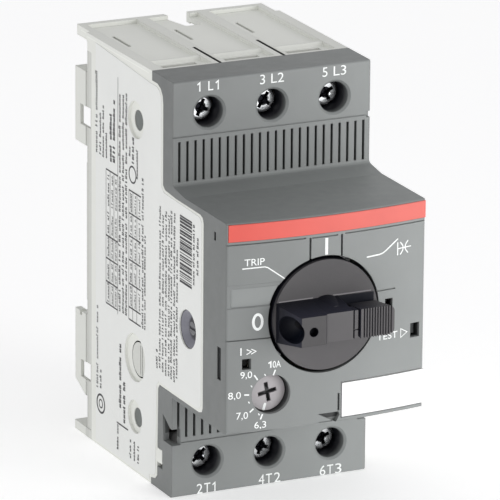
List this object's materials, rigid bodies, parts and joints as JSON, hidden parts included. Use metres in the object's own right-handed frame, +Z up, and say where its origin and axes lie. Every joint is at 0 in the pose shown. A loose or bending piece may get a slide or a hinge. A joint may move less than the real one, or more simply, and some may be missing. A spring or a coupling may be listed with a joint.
{
  "type": "motor protection circuit breaker",
  "caption": "Rail-mounted motor protection breaker with rotary switch handle, current setting dial, screw terminals and internal trip mechanism.",
  "frame": {"origin": "centre of the rail seat on the back face, on the centre line of the 35 mm rail", "axes": "+X to the right seen from the front, +Y to the rear towards the mounting panel, +Z up, line terminals at the top"},
  "size_m": [0.0451, 0.0877, 0.09],
  "materials": {
    "housing_white": "matt moulded light grey-white polyamide",
    "cover_gray": "fine-grained mid grey moulding",
    "band_red": "satin red strip",
    "plate_white": "plain white marking plate",
    "label_paper": "printed paper label with greeked lines",
    "steel": "zinc-plated sheet steel",
    "pin_gray": "dark grey pins",
    "plug_gray": "light grey moulding",
    "copper": "copper alloy strip",
    "copper_wire": "enamelled copper wire",
    "bobbin_black": "black moulding",
    "core_iron": "soft iron",
    "fibre": "red-brown fibre board",
    "bimetal": "bimetal sheet",
    "heater_alloy": "heater ribbon",
    "slider_amber": "natural phenolic moulding",
    "spring_steel": "spring wire",
    "carrier_black": "black thermoset moulding",
    "handle_dark": "fine-grained anthracite moulding",
    "cam_cream": "natural acetal",
    "dial_gray": "pale grey moulding",
    "test_dark": "dark grey moulding",
    "flag_yellow": "two-tone indicator flag",
    "latch_gray": "grey moulding",
    "screw_zinc": "bright zinc-plated steel",
    "cage_steel": "zinc-plated steel"
  },
  "bodies": {
    "housing": {"rear_housing": "housing_white", "front_cover": "cover_gray", "red_band": "band_red", "marking_plate": "plate_white", "side_label": "label_paper", "housing_pins": "pin_gray", "seal_plugs": "plug_gray", "line_conductors": "copper", "load_conductors": "copper", "coil_windings": "copper_wire", "coil_bobbins": "bobbin_black", "coil_cores": "core_iron", "coil_yokes": "core_iron", "fixed_contacts_line": "copper", "fixed_contacts_load": "copper", "arc_plates": "steel", "arc_frames": "fibre", "bimetal_strips": "bimetal", "heater_windings": "heater_alloy", "compensation_strip": "bimetal", "mechanism_frame": "steel", "handle_spring": "spring_steel", "latch_spring": "spring_steel"},
    "handle": {"handle_knob": "handle_dark", "handle_shaft": "steel", "drive_cam": "cam_cream"},
    "lock": {"lock_slide": "handle_dark"},
    "carrier": {"contact_carrier": "carrier_black", "contact_springs": "spring_steel", "contact_bridge_1": "copper", "contact_bridge_2": "copper", "contact_bridge_3": "copper"},
    "dial": {"setting_dial": "dial_gray", "setting_cam": "cam_cream"},
    "release_slider": {"trip_slider": "slider_amber"},
    "release_bar": {"trip_bar": "slider_amber"},
    "release_lever": {"latch_lever": "steel"},
    "tester": {"test_slide": "test_dark"},
    "indicator": {"fault_flag": "flag_yellow"},
    "clip": {"rail_latch": "latch_gray"},
    "plunger_1": {"plunger_1": "core_iron"},
    "line_screw_1": {"line_screw_1": "screw_zinc"},
    "line_cage_1": {"line_cage_1": "cage_steel"},
    "load_screw_1": {"load_screw_1": "screw_zinc"},
    "load_cage_1": {"load_cage_1": "cage_steel"},
    "plunger_2": {"plunger_2": "core_iron"},
    "line_screw_2": {"line_screw_2": "screw_zinc"},
    "line_cage_2": {"line_cage_2": "cage_steel"},
    "load_screw_2": {"load_screw_2": "screw_zinc"},
    "load_cage_2": {"load_cage_2": "cage_steel"},
    "plunger_3": {"plunger_3": "core_iron"},
    "line_screw_3": {"line_screw_3": "screw_zinc"},
    "line_cage_3": {"line_cage_3": "cage_steel"},
    "load_screw_3": {"load_screw_3": "screw_zinc"},
    "load_cage_3": {"load_cage_3": "cage_steel"}
  },
  "joints": [
    {"name": "handle_turn", "type": "hinge", "parent": "housing", "child": "handle", "pos_m": [-0.0011, -0.0722, -0.0002], "axis": [0, 1, 0], "range_deg": [0, 90]},
    {"name": "lock_draw", "type": "slide", "parent": "handle", "child": "lock", "axis": [1, 0, 0], "range_m": [0, 0.003]},
    {"name": "carrier_slide", "type": "slide", "parent": "housing", "child": "carrier", "axis": [0, 1, 0], "range_m": [0, 0.0029]},
    {"name": "dial_turn", "type": "hinge", "parent": "housing", "child": "dial", "pos_m": [-0.0128, -0.0692, -0.01605], "axis": [0, 1, 0], "range_deg": [0, 167]},
    {"name": "release_slide", "type": "slide", "parent": "housing", "child": "release_slider", "axis": [1, 0, 0], "range_m": [0, 0.0015], "stiffness_N_per_m": 120, "springref_m": -0.0004},
    {"name": "release_bar_turn", "type": "hinge", "parent": "housing", "child": "release_bar", "pos_m": [0, -0.0287, 0.0185], "axis": [1, 0, 0], "range_deg": [0, 12], "stiffness_Nm_per_rad": 0.004, "springref_deg": -11.46},
    {"name": "release_lever_turn", "type": "hinge", "parent": "housing", "child": "release_lever", "pos_m": [0, -0.0462, 0.0125], "axis": [1, 0, 0], "range_deg": [0, 6.1]},
    {"name": "indicator_shift", "type": "slide", "parent": "housing", "child": "indicator", "axis": [1, 0, 0], "range_m": [0, 0.0024]},
    {"name": "test_push", "type": "slide", "parent": "housing", "child": "tester", "axis": [0, 1, 0], "range_m": [0, 0.0015], "stiffness_N_per_m": 300, "springref_m": -0.0005},
    {"name": "rail_latch_pull", "type": "slide", "parent": "housing", "child": "clip", "axis": [0, 0, -1], "range_m": [0, 0.003], "stiffness_N_per_m": 2000, "springref_m": -0.001, "deforming": ["latch_spring"]},
    {"name": "plunger_slide_1", "type": "slide", "parent": "housing", "child": "plunger_1", "axis": [0, -1, 0], "range_m": [0, 0.00115]},
    {"name": "line_screw_turn_1", "type": "hinge", "parent": "housing", "child": "line_screw_1", "pos_m": [-0.0143, -0.0392, 0.0368], "axis": [0, 1, 0], "range_deg": [0, 1235]},
    {"name": "line_cage_slide_1", "type": "slide", "parent": "housing", "child": "line_cage_1", "axis": [0, -1, 0], "range_m": [0, 0.0024]},
    {"name": "load_screw_turn_1", "type": "hinge", "parent": "housing", "child": "load_screw_1", "pos_m": [-0.0143, -0.0392, -0.0389], "axis": [0, 1, 0], "range_deg": [0, 1235]},
    {"name": "load_cage_slide_1", "type": "slide", "parent": "housing", "child": "load_cage_1", "axis": [0, -1, 0], "range_m": [0, 0.0024]},
    {"name": "plunger_slide_2", "type": "slide", "parent": "housing", "child": "plunger_2", "axis": [0, -1, 0], "range_m": [0, 0.00115]},
    {"name": "line_screw_turn_2", "type": "hinge", "parent": "housing", "child": "line_screw_2", "pos_m": [0, -0.0392, 0.0368], "axis": [0, 1, 0], "range_deg": [0, 1235]},
    {"name": "line_cage_slide_2", "type": "slide", "parent": "housing", "child": "line_cage_2", "axis": [0, -1, 0], "range_m": [0, 0.0024]},
    {"name": "load_screw_turn_2", "type": "hinge", "parent": "housing", "child": "load_screw_2", "pos_m": [0, -0.0392, -0.0389], "axis": [0, 1, 0], "range_deg": [0, 1235]},
    {"name": "load_cage_slide_2", "type": "slide", "parent": "housing", "child": "load_cage_2", "axis": [0, -1, 0], "range_m": [0, 0.0024]},
    {"name": "plunger_slide_3", "type": "slide", "parent": "housing", "child": "plunger_3", "axis": [0, -1, 0], "range_m": [0, 0.00115]},
    {"name": "line_screw_turn_3", "type": "hinge", "parent": "housing", "child": "line_screw_3", "pos_m": [0.0143, -0.0392, 0.0368], "axis": [0, 1, 0], "range_deg": [0, 1235]},
    {"name": "line_cage_slide_3", "type": "slide", "parent": "housing", "child": "line_cage_3", "axis": [0, -1, 0], "range_m": [0, 0.0024]},
    {"name": "load_screw_turn_3", "type": "hinge", "parent": "housing", "child": "load_screw_3", "pos_m": [0.0143, -0.0392, -0.0389], "axis": [0, 1, 0], "range_deg": [0, 1235]},
    {"name": "load_cage_slide_3", "type": "slide", "parent": "housing", "child": "load_cage_3", "axis": [0, -1, 0], "range_m": [0, 0.0024]}
  ],
  "couplings": [
    {"joint": "handle_turn", "follows": "carrier_slide", "rad_per_m": 541.65},
    {"joint": "release_bar_turn", "follows": "plunger_slide_2", "rad_per_m": 182.1},
    {"joint": "release_lever_turn", "follows": "plunger_slide_2", "rad_per_m": 91.05},
    {"joint": "indicator_shift", "follows": "plunger_slide_2", "ratio": 2.076},
    {"joint": "plunger_slide_1", "follows": "plunger_slide_2", "ratio": 1},
    {"joint": "line_screw_turn_1", "follows": "line_cage_slide_1", "rad_per_m": 8976},
    {"joint": "load_screw_turn_1", "follows": "load_cage_slide_1", "rad_per_m": 8976},
    {"joint": "line_screw_turn_2", "follows": "line_cage_slide_2", "rad_per_m": 8976},
    {"joint": "load_screw_turn_2", "follows": "load_cage_slide_2", "rad_per_m": 8976},
    {"joint": "plunger_slide_3", "follows": "plunger_slide_2", "ratio": 1},
    {"joint": "line_screw_turn_3", "follows": "line_cage_slide_3", "rad_per_m": 8976},
    {"joint": "load_screw_turn_3", "follows": "load_cage_slide_3", "rad_per_m": 8976}
  ]
}
